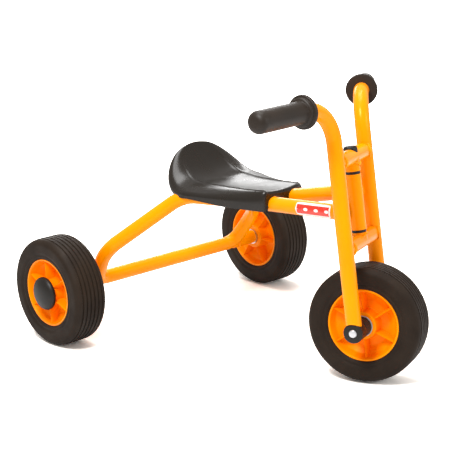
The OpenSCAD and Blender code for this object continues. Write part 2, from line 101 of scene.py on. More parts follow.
FLOOR_HALF = 30
PAPER_TONE, PAPER_TONE_IN_VIEW = (0.8, 0.8, 0.8, 1), (1.6, 1.52, 1.44, 1)
PAPER_FADE_FROM, PAPER_FADE_TO = 0.40, 1.1
floor_mesh = bpy.data.meshes.new("floor")
floor_mesh.from_pydata([(x * FLOOR_HALF, y * FLOOR_HALF, 0) for x, y in ((-1, -1), (1, -1), (1, 1), (-1, 1))],
                       [], [(0, 1, 2, 3)])
floor = bpy.data.objects.new("floor", floor_mesh)
bpy.context.scene.collection.objects.link(floor)
floor_paper = bpy.data.materials.new("floor_paper")
floor_paper.use_nodes = True
paper_nodes, paper_links = floor_paper.node_tree.nodes, floor_paper.node_tree.links
matt_paper, paper_sum = paper_nodes.new("ShaderNodeBsdfDiffuse"), paper_nodes.new("ShaderNodeAddShader")
paper_glow, paper_seen = paper_nodes.new("ShaderNodeEmission"), paper_nodes.new("ShaderNodeLightPath")
paper_where, paper_far = paper_nodes.new("ShaderNodeTexCoord"), paper_nodes.new("ShaderNodeVectorMath")
paper_tone, paper_fade = paper_nodes.new("ShaderNodeMix"), paper_nodes.new("ShaderNodeMapRange")
paper_only = paper_nodes.new("ShaderNodeMath")
paper_tone.data_type, paper_only.operation, paper_far.operation = "RGBA", "MULTIPLY", "LENGTH"
paper_tone.inputs["A"].default_value = PAPER_TONE
paper_tone.inputs["B"].default_value = PAPER_TONE_IN_VIEW
paper_fade.inputs["From Min"].default_value = PAPER_FADE_FROM
paper_fade.inputs["From Max"].default_value = PAPER_FADE_TO
paper_links.new(paper_seen.outputs["Is Camera Ray"], paper_tone.inputs["Factor"])
paper_links.new(paper_tone.outputs["Result"], matt_paper.inputs["Color"])
paper_links.new(paper_where.outputs["Object"], paper_far.inputs[0])
paper_links.new(paper_far.outputs["Value"], paper_fade.inputs["Value"])
paper_links.new(paper_fade.outputs["Result"], paper_only.inputs[0])
paper_links.new(paper_seen.outputs["Is Camera Ray"], paper_only.inputs[1])
paper_links.new(paper_only.outputs[0], paper_glow.inputs["Strength"])
paper_links.new(matt_paper.outputs[0], paper_sum.inputs[0])
paper_links.new(paper_glow.outputs[0], paper_sum.inputs[1])
paper_links.new(paper_sum.outputs[0], paper_nodes["Material Output"].inputs["Surface"])
floor_mesh.materials.append(floor_paper)


# Frame loop: one 21.3 mm steel tube, bent cold on a roller and welded to the head tube at both
# ends. It runs from the head tube back under the seat, down a stay to a rear corner, across
# behind the rider and up the other side. Powder coated golden yellow after welding.
TUBE_R = 0.01065
WHEEL_R = 0.080
rear_low, rear_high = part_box("tyre_right")
REAR_Y = (rear_low[1] + rear_high[1]) / 2
steering = next(j for j in frame["joints"] if j["name"] == "steering")
AXLE = np.array(steering["pos_m"])
STEER_AXIS = np.array(steering["axis"])


def unit(v):
    """The vector v divided by its length, along the last axis of an array of vectors."""
    v = np.asarray(v, float)
    return v / np.linalg.norm(v, axis=-1, keepdims=True)


def rounded_path(corners, bends, step=0.004):
    """Points along straight lines between corners, where each inner corner is replaced by a
    circular arc of the given radius that touches both lines."""
    corners = np.array(corners, float)
    parts = [corners[:1]]
    for before, corner, after, bend in zip(corners, corners[1:], corners[2:], bends):
        d0, d1 = unit(corner - before), unit(after - corner)
        angle = math.acos(np.clip(d0 @ d1, -1, 1))
        cut = bend * math.tan(angle / 2)
        centre = corner + unit(d1 - d0) * bend / math.cos(angle / 2)
        a = np.linspace(0, angle, max(6, int(angle * bend / step * 1.5)))[:, None]
        start = corner - d0 * cut - centre
        parts.append(centre + start * np.cos(a) + d0 * bend * np.sin(a))
    parts.append(corners[-1:])
    path = np.concatenate(parts)
    gaps = np.linalg.norm(np.diff(path, axis=0), axis=1)
    whole = np.concatenate([[0], np.cumsum(gaps)])
    even = np.unique(np.concatenate([np.arange(0, whole[-1], step), whole]))
    return np.stack([np.interp(even, whole, path[:, i]) for i in range(3)], 1)


def tube_grid(path, radius, reference, sides=48):
    """Rings round a path: each ring is centre plus radius times (cos a across + sin a up), where
    across is tangent x reference. radius may be one number or one for each point of the path."""
    tangent = unit(np.gradient(path, axis=0))
    across = unit(np.cross(tangent, reference))
    up = np.cross(across, tangent)
    a = np.linspace(0, 2 * np.pi, sides, endpoint=False)[None, :, None]
    radius = np.broadcast_to(radius, len(path))[:, None, None]
    return path[:, None] + radius * (np.cos(a) * across[:, None] + np.sin(a) * up[:, None])


def grid_mesh(name, grids, smooth_angle):
    """One mesh from grids of points. A grid is (points, closed round its second direction, and
    what closes its first and last row: a point each, or None)."""
    verts, faces = [], []
    for points, wraps, ends in grids:
        base = sum(len(v) for v in verts)
        rows, cols = points.shape[:2]
        index = base + np.arange(rows * cols).reshape(rows, cols)
        right = np.roll(index, -1, 1) if wraps else index[:, 1:]
        left = index if wraps else index[:, :-1]
        faces += np.stack([left[:-1], right[:-1], right[1:], left[1:]], -1).reshape(-1, 4).tolist()
        verts.append(points.reshape(-1, 3))
        for row, end in ((0, ends[0]), (-1, ends[1])) if ends else ():
            hub = base + rows * cols + (0 if row == 0 else (ends[0] is not None))
            if end is None:
                continue
            verts.append(np.array(end, float).reshape(1, 3))
            ring, after = index[row], np.roll(index[row], -1)
            pair = (after, ring) if row == 0 else (ring, after)
            faces += np.stack([pair[0], pair[1], np.full(cols, hub)], -1).tolist()
    mesh = bpy.data.meshes.new(name)
    mesh.from_pydata(np.concatenate(verts).tolist(), [], faces)
    work = bmesh.new()
    work.from_mesh(mesh)
    bmesh.ops.remove_doubles(work, verts=work.verts, dist=1e-6)
    bmesh.ops.recalc_face_normals(work, faces=work.faces)
    work.to_mesh(mesh)
    work.free()
    mesh.polygons.foreach_set("use_smooth", np.ones(len(mesh.polygons), bool))
    mesh.set_sharp_from_angle(angle=math.radians(smooth_angle))
    return mesh


def add_piece(name, shape, material, body, nodes=(), smooth_angle=35):
    """Links shape, a mesh or the grids of one, as a piece that rides on body, and hides the CAD
    nodes it stands for."""
    mesh = shape if isinstance(shape, bpy.types.Mesh) else grid_mesh(name, shape, smooth_angle)
    piece = bpy.data.objects.new(name, mesh)
    bpy.context.scene.collection.objects.link(piece)
    mesh.materials.append(material)
    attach(piece, body)
    if nodes:
        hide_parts(*nodes)
    return piece


def finish_group():
    """Shader group for any finish: broad mottling that shifts a colour, a change in roughness
    with it, and a fine grain height for a bump."""
    group = bpy.data.node_groups.new("finish", "ShaderNodeTree")
    for socket, kind, value in (("Colour", "NodeSocketColor", (0.5, 0.5, 0.5, 1)),
                                ("Deep Colour", "NodeSocketColor", (0.4, 0.4, 0.4, 1)),
                                ("Mottle Scale", "NodeSocketFloat", 20.0),
                                ("Grain Scale", "NodeSocketFloat", 900.0),
                                ("Roughness", "NodeSocketFloat", 0.4),
                                ("Roughness Change", "NodeSocketFloat", 0.1)):
        group.interface.new_socket(socket, in_out="INPUT", socket_type=kind).default_value = value
    for socket, kind in (("Colour", "NodeSocketColor"), ("Roughness", "NodeSocketFloat"),
                         ("Height", "NodeSocketFloat")):
        group.interface.new_socket(socket, in_out="OUTPUT", socket_type=kind)
    nodes, links = group.nodes, group.links
    given, result = nodes.new("NodeGroupInput"), nodes.new("NodeGroupOutput")
    where = nodes.new("ShaderNodeTexCoord")
    mottle, grain = nodes.new("ShaderNodeTexNoise"), nodes.new("ShaderNodeTexNoise")
    mottle.inputs["Detail"].default_value, grain.inputs["Detail"].default_value = 5.0, 2.0
    spread = nodes.new("ShaderNodeMapRange")
    spread.inputs["From Min"].default_value, spread.inputs["From Max"].default_value = 0.35, 0.68
    mix = nodes.new("ShaderNodeMix")
    mix.data_type = "RGBA"
    shift = nodes.new("ShaderNodeMath")
    shift.operation = "MULTIPLY_ADD"
    for source, target in ((where.outputs["Object"], mottle.inputs["Vector"]),
                           (where.outputs["Object"], grain.inputs["Vector"]),
                           (given.outputs["Mottle Scale"], mottle.inputs["Scale"]),
                           (given.outputs["Grain Scale"], grain.inputs["Scale"]),
                           (mottle.outputs["Fac"], spread.inputs["Value"]),
                           (spread.outputs["Result"], mix.inputs["Factor"]),
                           (given.outputs["Colour"], mix.inputs["A"]),
                           (given.outputs["Deep Colour"], mix.inputs["B"]),
                           (spread.outputs["Result"], shift.inputs[0]),
                           (given.outputs["Roughness Change"], shift.inputs[1]),
                           (given.outputs["Roughness"], shift.inputs[2]),
                           (mix.outputs["Result"], result.inputs["Colour"]),
                           (shift.outputs["Value"], result.inputs["Roughness"]),
                           (grain.outputs["Fac"], result.inputs["Height"])):
        links.new(source, target)
    return group


FINISH = finish_group()
COAT_ROUGH = 0.05


def finished(name, colour, deep, mottle, grain, rough, change, bump, depth, metal=0.0, coat=0.0,
             specular=0.5, tint=(1.0, 1.0, 1.0)):
    """A material whose colour, roughness and bump come from the finish group."""
    material = bpy.data.materials.new(name)
    material.use_nodes = True
    nodes, links = material.node_tree.nodes, material.node_tree.links
    shader = nodes["Principled BSDF"]
    finish = nodes.new("ShaderNodeGroup")
    finish.node_tree = FINISH
    finish.name = "finish"
    for socket, value in (("Colour", (*colour, 1)), ("Deep Colour", (*deep, 1)), ("Mottle Scale", mottle),
                          ("Grain Scale", grain), ("Roughness", rough), ("Roughness Change", change)):
        finish.inputs[socket].default_value = value
    relief = nodes.new("ShaderNodeBump")
    relief.inputs["Strength"].default_value = bump
    relief.inputs["Distance"].default_value = depth
    links.new(finish.outputs["Height"], relief.inputs["Height"])
    links.new(finish.outputs["Colour"], shader.inputs["Base Color"])
    links.new(finish.outputs["Roughness"], shader.inputs["Roughness"])
    links.new(relief.outputs["Normal"], shader.inputs["Normal"])
    shader.inputs["Metallic"].default_value = metal
    shader.inputs["Coat Weight"].default_value = coat
    shader.inputs["Coat Roughness"].default_value = COAT_ROUGH
    shader.inputs["Specular IOR Level"].default_value = specular
    shader.inputs["Specular Tint"].default_value = (*tint, 1)
    return material


YELLOW_PAINT = finished("yellow_powder_coat", (1.0, 0.325, 0.0), (1.0, 0.27, 0.0), 9, 420,
                        0.19, 0.08, 0.14, 0.0003, specular=0.36, tint=(1.0, 0.72, 0.22))


def up_fork(s):
    """The point at height s up the steering axis, measured from the front axle."""
    return AXLE + STEER_AXIS * s


SEAT_BACK_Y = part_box("seat")[1][1]
SEAT_FRONT_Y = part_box("seat")[0][1]
HEAD_MID = 0.16535

# bends of the loop from the head tube to a rear corner: distance out, place along and height
WELD_DROP, WELD_STEP, WELD_X, WELD_BACK = 0.002, 0.0125, 0.014, 0.007
NOSE_X, NOSE_BACK, NOSE_Z, NOSE_STEP = 0.0204, 0.008, 0.221, 0.0015
HIP_X, HIP_AHEAD, HIP_Z = 0.068, 0.1241, 0.2176
KNEE_X, KNEE_AHEAD, KNEE_Z = 0.149, 0.0371875, 0.133
CORNER_X = 0.1383
RAIL_BEND, CORNER_BEND = 0.06, 0.022
loop_points = {}
for side in (-1, 1):
    loop_points[side] = [up_fork(HEAD_MID - WELD_DROP + side * WELD_STEP) + [side * WELD_X, WELD_BACK, 0],
                         [side * NOSE_X, SEAT_FRONT_Y + NOSE_BACK, NOSE_Z + side * NOSE_STEP],
                         [side * HIP_X, REAR_Y - HIP_AHEAD, HIP_Z],
                         [side * KNEE_X, REAR_Y - KNEE_AHEAD, KNEE_Z],
                         [side * CORNER_X, REAR_Y, WHEEL_R]]
loop = rounded_path(loop_points[-1] + loop_points[1][::-1],
                    [RAIL_BEND] * 3 + [CORNER_BEND] * 2 + [RAIL_BEND] * 3)
add_piece("frame_loop", [(tube_grid(loop, TUBE_R, (0, 0, 1)), True, (loop[0], loop[-1]))],
          YELLOW_PAINT, "frame",
          ["rail_right", "rail_left", "stay_right", "stay_left", "rear_cross_tube"])


# Head tube and axle sleeves: short lengths of the same tube, welded on. The weld beads are the
# small rippled fillets that show at every joint under the paint.
def along(start, end, count):
    """Evenly spaced points from start to end."""
    return np.asarray(start) + (np.asarray(end) - start) * np.linspace(0, 1, count)[:, None]


def bead_grid(centre, direction, ring_radius, bead, reference, saddle=0.0, ripples=44):
    """A weld bead: a thin tube along a ring round direction. The ring is bent by saddle times
    cos 2a along direction to follow a tube it meets, and the bead swells with cos(ripples a)."""
    direction = unit(direction)
    across = unit(np.cross(direction, reference))
    up = np.cross(direction, across)
    a = np.linspace(0, 2 * np.pi, 132, endpoint=False)[:, None]
    ring = centre + ring_radius * (np.cos(a) * across + np.sin(a) * up) + direction * saddle * np.cos(2 * a)
    out = np.cos(a) * across + np.sin(a) * up
    b = np.linspace(0, 2 * np.pi, 8, endpoint=False)[None, :, None]
    swell = bead * (1 + 0.14 * np.cos(ripples * a))[:, None]
    points = ring[:, None] + swell * (np.cos(b) * out[:, None] + np.sin(b) * direction)
    return np.concatenate([points, points[:1]]), True, None


HEAD_LOW, HEAD_HIGH = 0.12765, 0.20305
SLEEVE_IN_X, SLEEVE_OUT_X, SLEEVE_WELD_X = 0.136, 0.1782, 0.1425
BEAD_R, BEAD_SADDLE = 0.0017, 0.001
head = along(up_fork(HEAD_LOW), up_fork(HEAD_HIGH), 24)
add_piece("head_tube_paint", [(tube_grid(head, TUBE_R, (0, 1, 0)), True, (head[0], head[-1]))],
          YELLOW_PAINT, "frame", ["head_tube"])
frame_beads = []
for side in (-1, 1):
    weld, nose = np.array(loop_points[side][0]), np.array(loop_points[side][1])
    frame_beads.append(bead_grid(weld + unit(nose - weld) * 0.0045, nose - weld, TUBE_R + 0.0006, BEAD_R,
                                 (0, 0, 1), BEAD_SADDLE))
    sleeve = along([side * SLEEVE_IN_X, REAR_Y, WHEEL_R], [side * SLEEVE_OUT_X, REAR_Y, WHEEL_R], 12)
    name = "right" if side < 0 else "left"
    add_piece("axle_sleeve_paint_" + name,
              [(tube_grid(sleeve, TUBE_R, (0, 0, 1)), True, (sleeve[0], sleeve[-1]))],
              YELLOW_PAINT, "frame", ["axle_sleeve_" + name])
    frame_beads.append(bead_grid(np.array([side * SLEEVE_WELD_X, REAR_Y, WHEEL_R - 0.0008]), (side, 0, 0.35),
                                 TUBE_R + 0.0007, BEAD_R, (0, 1, 0), BEAD_SADDLE))
add_piece("frame_welds", frame_beads, YELLOW_PAINT, "frame")


# Label: a plain film stuck round the outer side of the right rail, just ahead of the seat. It is
# printed white with a red band and three dots, and has no lettering.
LABEL_START, LABEL_LENGTH = 0.0830, 0.0640
LABEL_HALF_TURN, LABEL_TILT = 0.92, 0.10
LABEL_RED = (0.90, 0.022, 0.006, 1)
rail_dir = unit(np.array(loop_points[-1][0]) - loop_points[-1][1])
label_across = unit(np.cross(rail_dir, (0, 0, 1)))
label_out = -label_across if label_across[0] > 0 else label_across
label_up = np.cross(rail_dir, label_out) * (1 if np.cross(rail_dir, label_out)[2] > 0 else -1)
label_origin = np.array(loop_points[-1][0]) - rail_dir * LABEL_START


def label_points(thickness, rows=60, cols=30):
    """A patch of the rail's cylinder: u runs along the rail and v round it, with the corners
    rounded by narrowing the patch near its ends as a superellipse."""
    u = np.linspace(-1, 1, rows)[:, None]
    v = np.linspace(-1, 1, cols)[None, :]
    narrow = (1 - np.abs(u) ** 14) ** (1 / 5)
    turn = LABEL_HALF_TURN * v * narrow + LABEL_TILT
    radius = TUBE_R + thickness
    place = label_origin + rail_dir * (LABEL_LENGTH * (u + 1) / 2)[..., None]
    return place + radius * (np.cos(turn)[..., None] * label_out + np.sin(turn)[..., None] * label_up)


outer, inner = label_points(0.0005), label_points(-0.0002)
label_mesh = grid_mesh("label", [(outer, False, None), (inner, False, None)], 60)
label_ink = finished("label_film", (0.86, 0.84, 0.82), (0.80, 0.78, 0.76), 60, 700, 0.22, 0.08, 0.05, 0.0002,
                     coat=0.5)


def print_band(material):
    """Adds a red band with three plain white dots. The label's UV map gives the distances along
    the rail and round it, each from -1 to 1, and a dot is where the sum of squares is small."""
    band_high, band_long = 0.66, 0.92
    dot_pitch, dot_shift, dot_zone, dot_size = 0.6, 1.9, 0.9, 0.3
    dot_along, dot_round = 4.6, 2.6
    nodes, links = material.node_tree.nodes, material.node_tree.links
    where = nodes.new("ShaderNodeUVMap")
    where.uv_map = "label"
    parts = nodes.new("ShaderNodeSeparateXYZ")
    links.new(where.outputs["UV"], parts.inputs["Vector"])

    def step(operation, a, b):
        node = nodes.new("ShaderNodeMath")
        node.operation = operation
        for socket, value in zip(node.inputs, (a, b)):
            if isinstance(value, (int, float)):
                socket.default_value = value
            else:
                links.new(value, socket)
        return node.outputs[0]

    height = step("ABSOLUTE", parts.outputs["Y"], 0)
    length = step("ABSOLUTE", parts.outputs["X"], 0)
    inside = step("MULTIPLY", step("LESS_THAN", height, band_high), step("LESS_THAN", length, band_long))
    along_dot = step("SUBTRACT", step("MODULO", step("ADD", parts.outputs["X"], dot_shift), dot_pitch),
                     dot_pitch / 2)
    squares = step("ADD", step("POWER", step("MULTIPLY", along_dot, dot_along), 2),
                   step("POWER", step("MULTIPLY", height, dot_round), 2))
    dots = step("MULTIPLY", step("LESS_THAN", squares, dot_size), step("LESS_THAN", length, dot_zone))
    red = step("SUBTRACT", inside, dots)
    mix = nodes.new("ShaderNodeMix")
    mix.data_type = "RGBA"
    mix.inputs["B"].default_value = LABEL_RED
    links.new(red, mix.inputs["Factor"])
    links.new(nodes["finish"].outputs["Colour"], mix.inputs["A"])
    links.new(mix.outputs["Result"], nodes["Principled BSDF"].inputs["Base Color"])


label_uv = label_mesh.uv_layers.new(name="label")
corner_vertex = np.zeros(len(label_mesh.loops), np.int32)
label_mesh.loops.foreach_get("vertex_index", corner_vertex)
label_co = np.zeros(len(label_mesh.vertices) * 3)
label_mesh.vertices.foreach_get("co", label_co)
label_local = label_co.reshape(-1, 3) - label_origin
label_u = label_local @ rail_dir / LABEL_LENGTH * 2 - 1
label_v = (np.arctan2(label_local @ label_up, label_local @ label_out) - LABEL_TILT) / LABEL_HALF_TURN
label_uv.data.foreach_set("uv", np.stack([label_u, label_v], 1)[corner_vertex].astype(np.float32).ravel())
print_band(label_ink)
add_piece("label", label_mesh, label_ink, "frame", ["rail_label"])


# Seat: one blow-moulded black shell with a rolled back, a dished pan with a crisp crease along
# each side and a skirt that hides the rails, open at the front where the rails come out.
SEAT_LENGTH = SEAT_BACK_Y - SEAT_FRONT_Y
SEAT_HALF, SEAT_NOSE, SEAT_WIDE, SEAT_RIDGE = 0.0795, 0.0395, 0.072, 0.011
PAN_Z, BACK_RISE, NOSE_RISE, DISH, FRONT_ROUND = 0.2305, 0.0475, 0.0075, 0.0030, 0.006
HEM_DROP, HEM_STEP, HEM_STEP_FROM, HEM_STEP_OVER = 0.0185, 0.0055, 0.14, 0.06
HEM_BACK_LIFT, HEM_DRAW_IN = 0.012, 0.009
CREASE_ARC, CREASE_BEAD, CREASE_BEAD_WIDTH = 0.027, 0.0011, 0.0019
BACK_FADE, SHELL_WALL, ARCH_GAP, SEAT_ROWS = 0.06, 0.0018, 0.0008, 110


def seat_spine(s):
    """Height of the shell along its middle: a rounded roll at the back, a parabola down to the
    pan, and a slight rise to the nose."""
    roll = 0.5 + 0.5 * np.sqrt(np.clip(1 - ((SEAT_RIDGE - s) / SEAT_RIDGE) ** 2, 0, 1))
    fall = np.clip((SEAT_WIDE - s) / (SEAT_WIDE - SEAT_RIDGE), 0, 1) ** 2
    rise = NOSE_RISE * np.clip((s - SEAT_WIDE) / (SEAT_LENGTH - SEAT_WIDE), 0, 1) ** 2
    return PAN_Z + np.where(s < SEAT_RIDGE, BACK_RISE * roll, BACK_RISE * fall) + rise


def seat_width(s):
    """Half width over the skirt: a superellipse round the back, then straight to the nose."""
    back = SEAT_HALF * np.clip(1 - (np.clip(SEAT_WIDE - s, 0, None) / SEAT_WIDE) ** 2.4, 0, 1) ** 0.42
    front = SEAT_HALF + (SEAT_NOSE - SEAT_HALF) * (s - SEAT_WIDE) / (SEAT_LENGTH - SEAT_WIDE)
    return np.where(s < SEAT_WIDE, back, front)


def seat_crease(s):
    """Half width of the pan between its creases, which close in an arc up the rolled back."""
    share = 0.53 + 0.30 * np.clip(s / SEAT_LENGTH * 2 - 1, 0, None) ** 1.5
    arc = np.sqrt(np.clip(1 - (np.clip(SEAT_RIDGE + CREASE_ARC - s, 0, None) / CREASE_ARC) ** 2, 0, 1))
    return np.maximum(seat_width(np.maximum(s, SEAT_RIDGE + CREASE_ARC)) * share * arc, 0.0)


def seat_hem(s):
    """Height of the skirt's bottom edge: level at the front, a straight step up behind it, and a
    parabola up round the back."""
    step_up = HEM_STEP * np.clip((HEM_STEP_FROM - s) / HEM_STEP_OVER, 0, 1)
    return PAN_Z - HEM_DROP + step_up + HEM_BACK_LIFT * np.clip(1 - s / BACK_FADE, 0, None) ** 2


def seat_belly(s):
    """Height at which the side is steepest, high round the back and low along the skirt."""
    turn = (1 + np.cos(np.pi * np.clip((s - 0.004) / 0.05, 0, 1))) / 2
    return np.maximum(PAN_Z - 0.009 + 0.022 * turn, seat_hem(s) + 0.002)


def seat_section(s, inset):
    """Half sections across the seat, from hem to middle: a short hem that draws in under the
    back, a quarter superellipse from the belly up to the crease, and a parabola over the pan."""
    s, inset = s[:, None], inset[:, None]
    width, crease, belly = seat_width(s) - inset, seat_crease(s), seat_belly(s)
    crease = np.minimum(crease, np.clip(width - 0.002, 0, None))
    top = seat_spine(s) + DISH * np.clip(s / BACK_FADE, 0, 1) - inset
    drop = np.linspace(1, 0, 9, endpoint=False)[None, :]
    hem_x = width - HEM_DRAW_IN * np.clip(1 - s / BACK_FADE, 0, None) * drop ** 1.5
    hem_z = belly + (seat_hem(s) - belly) * drop
    a = np.linspace(0, np.pi / 2, 26, endpoint=False)[None, :]
    full = 1 - 0.05 * np.clip(s / 0.08, 0, 1)
    side_x = crease + (width - crease) * np.cos(a) ** full
    side_z = belly + (top - belly) * np.sin(a) ** full
    q = np.linspace(1, 0, 20)[None, :]
    bead = CREASE_BEAD * np.exp(-((1 - q) * crease / CREASE_BEAD_WIDTH) ** 2)
    bead = bead * np.clip((s - 0.012) / 0.03, 0, 1)
    pan_x = crease * q
    pan_z = seat_spine(s) + DISH * np.clip(s / BACK_FADE, 0, 1) * q ** 2 - inset + bead
    return np.concatenate([hem_x, side_x, pan_x], 1), np.concatenate([hem_z + 0 * hem_x, side_z, pan_z], 1)


round_steps = np.linspace(0, np.pi / 2, 8)[1:]
seat_s = np.concatenate([SEAT_LENGTH * np.linspace(0, 1, SEAT_ROWS) ** 1.6 * (1 - FRONT_ROUND / SEAT_LENGTH),
                         SEAT_LENGTH - FRONT_ROUND + FRONT_ROUND * np.sin(round_steps)])
seat_in = np.concatenate([np.zeros(SEAT_ROWS), FRONT_ROUND * (1 - np.cos(round_steps))])
half_x, half_z = seat_section(seat_s, seat_in)
seat_x = np.concatenate([-half_x, half_x[:, -2::-1]], 1)
seat_z = np.concatenate([half_z, half_z[:, -2::-1]], 1)
seat_y = np.broadcast_to((SEAT_BACK_Y - seat_s)[:, None], seat_x.shape)
seat_top = np.stack([seat_x, seat_y, seat_z], -1)

# the front wall hangs from the rounded edge and is cut by an arch over each rail
wall_top = seat_top[-1]
arch = np.zeros(len(wall_top))
for side in (-1, 1):
    weld, nose = np.array(loop_points[side][0]), np.array(loop_points[side][1])
    rail_at = nose + unit(weld - nose) * NOSE_BACK
    reach = np.clip(1 - ((wall_top[:, 0] - rail_at[0]) / (TUBE_R + ARCH_GAP)) ** 2, 0, None)
    arch = np.maximum(arch, np.where(reach > 0, rail_at[2] + (TUBE_R + ARCH_GAP) * np.sqrt(reach), 0))
wall_low = np.minimum(np.where(arch > 0, arch, seat_hem(np.array(SEAT_LENGTH))), wall_top[:, 2] - 0.0004)
fall = np.linspace(0, 1, 8)[1:, None]
wall = np.stack(np.broadcast_arrays(wall_top[:, 0], wall_top[:, 1],
                                    wall_top[:, 2] + (wall_low - wall_top[:, 2]) * fall), -1)
seat_mesh = grid_mesh("seat_shell", [(np.concatenate([seat_top, wall]), False, None)], 50)
SEAT_PLASTIC = finished("seat_plastic", (0.011, 0.007, 0.0035), (0.008, 0.005, 0.0025), 14, 1500, 0.22, 0.12,
                        0.10, 0.0002, specular=0.42)
seat_piece = add_piece("seat_shell", seat_mesh, SEAT_PLASTIC, "frame", ["seat"])
shell = seat_piece.modifiers.new("shell", "SOLIDIFY")
shell.thickness, shell.offset = SHELL_WALL, -1


# Wheels: a solid rubber tyre with ribbed tread on a one-piece orange plastic rim. The rim is
# moulded with a hub ring and six thin ribs across a dished bowl on each face.
def filleted(points, radius, steps=5):
    """The outline through points with each inner corner replaced by a quadratic curve that
    starts and ends radius away from it, or a third of the way along a shorter side."""
    points = np.array(points, float)
    out = [points[:1]]
    for before, corner, after in zip(points, points[1:], points[2:]):
        d0, d1 = before - corner, after - corner
        n0, n1 = np.linalg.norm(d0), np.linalg.norm(d1)
        a = corner + d0 / n0 * min(radius, n0 / 3)
        b = corner + d1 / n1 * min(radius, n1 / 3)
        t = np.linspace(0, 1, steps)[:, None]
        out.append(a * (1 - t) ** 2 + 2 * corner * t * (1 - t) + b * t ** 2)
    out.append(points[-1:])
    return np.concatenate(out)


def axes_for(direction, reference=(0, 0, 1)):
    """Two unit vectors square to direction and to each other, the first level with reference."""
    direction = unit(direction)
    first = unit(np.cross(reference, direction))
    return first, np.cross(direction, first), direction


def turned(profile, centre, direction, sides=96, closed=True):
    """A turned shape: the profile's (radius, height) points swung round the line through centre
    along direction. The last point joins the first when closed."""
    first, second, along_axis = axes_for(direction)
    a = np.linspace(0, 2 * np.pi, sides, endpoint=False)[None, :, None]
    profile = np.concatenate([profile, profile[:1]]) if closed else np.asarray(profile)
    radius, height = profile[:, 0][:, None, None], profile[:, 1][:, None, None]
    points = centre + radius * (np.cos(a) * first + np.sin(a) * second) + height * along_axis
    return points, True, None


TYRE_HALF, RIM_R, SHOULDER, GROOVES, GROOVE_DEEP = 0.027, 0.050, 0.010, 6, 0.0017
HUB_HALF, RIM_HALF, HUB_R, BUSH_R, AXLE_R = 0.025, 0.0235, 0.019, 0.009, 0.006
RIBS, RIB_FOOT, RIB_HALF, RIB_DIP = 6, 0.0055, 0.0017, 0.0006
RIB_FROM, RIB_TO = HUB_R - 0.0015, RIM_R - 0.0040
RIB_AT_HUB, RIB_AT_RIM = HUB_HALF - 0.0008, RIM_HALF - 0.0016
WHEEL_X = 0.2055
TYRE_RUBBER = finished("tyre_rubber", (0.021, 0.0125, 0.007), (0.014, 0.008, 0.0045), 26, 620, 0.54, 0.14,
                       0.35, 0.0006, specular=0.16)
ORANGE_PLASTIC = finished("orange_plastic", (1.0, 0.30, 0.0), (1.0, 0.21, 0.0), 16, 900, 0.26, 0.10,
                          0.12, 0.0003, specular=0.34, tint=(1.0, 0.6, 0.15))

tread = np.linspace(-1, 1, 181)[1:-1] * (TYRE_HALF - SHOULDER) * 1.02
pitch = 2 * (TYRE_HALF - SHOULDER) / (GROOVES - 1)
pitches = (tread + (TYRE_HALF - SHOULDER)) / pitch
phase = np.abs(pitches - np.round(pitches)) * pitch
cut = GROOVE_DEEP * np.clip(1 - (phase / 0.0011) ** 4, 0, 1) ** 0.5
crown = WHEEL_R - 0.0002 - 0.0004 * (tread / TYRE_HALF) ** 2 - cut
arc = np.linspace(0, np.pi / 2, 14)[:-1]
shoulder = np.stack([WHEEL_R - SHOULDER + (SHOULDER - 0.0006) * np.sin(arc),
                     TYRE_HALF - SHOULDER + SHOULDER * np.cos(arc)], 1)
side_wall = filleted([[RIM_R - 0.0035, RIM_HALF - 0.0035], [RIM_R - 0.0005, RIM_HALF - 0.0028],
                      [RIM_R + 0.0003, RIM_HALF + 0.0004], [RIM_R + 0.0042, TYRE_HALF - 0.0013],
                      [RIM_R + 0.0062, TYRE_HALF - 0.0019], [RIM_R + 0.0105, TYRE_HALF], shoulder[0]], 0.0016)
half_tyre = np.concatenate([side_wall[:-1], shoulder])
tyre_profile = np.concatenate([half_tyre * [1, -1], np.stack([crown, tread], 1), half_tyre[::-1]])

rim_half_profile = filleted([[BUSH_R, HUB_HALF - 0.0012], [BUSH_R + 0.0012, HUB_HALF],
                             [HUB_R - 0.001, HUB_HALF],
                             [HUB_R, HUB_HALF - 0.0012], [HUB_R + 0.0018, 0.0075], [RIM_R * 0.66, 0.0068],
                             [RIM_R * 0.86, 0.0130], [RIM_R - 0.0032, RIM_HALF - 0.0012],
                             [RIM_R - 0.0024, RIM_HALF], [RIM_R - 0.0002, RIM_HALF],
                             [RIM_R, RIM_HALF - 0.0025], [RIM_R - 0.0038, RIM_HALF - 0.0036]], 0.0022, 6)
rim_profile = np.concatenate([rim_half_profile, rim_half_profile[::-1] * [1, -1]])


def rib_grid(angle, face, centre, direction):
    """One rib on one face: u runs from hub to rim along the radius, v goes up one side, round
    the top and down the other. Its top falls from the hub ring to the rim with a slight dip."""
    first, second, along_axis = axes_for(direction)
    u = np.linspace(0, 1, 24)[:, None]
    v = np.linspace(-1, 1, 17)[None, :]
    radius = RIB_FROM + (RIB_TO - RIB_FROM) * u
    top = RIB_AT_HUB + (RIB_AT_RIM - RIB_AT_HUB) * u - RIB_DIP * np.sin(np.pi * u)
    lift = np.clip((1 - np.abs(v) ** 1.6), 0, 1) ** 0.38
    height = RIB_FOOT + (top - RIB_FOOT) * lift
    sway = RIB_HALF * v + 0.0006 * v * (1 - lift)
    outward = math.cos(angle) * first + math.sin(angle) * second
    sideways = -math.sin(angle) * first + math.cos(angle) * second
    points = (centre + radius[..., None] * outward + sway[..., None] * sideways
              + face * height[..., None] * along_axis)
    return np.concatenate([points, points[:, :1]], 1), False, None


front_spin = next(j for j in frame["joints"] if j["name"] == "front_wheel_spin")

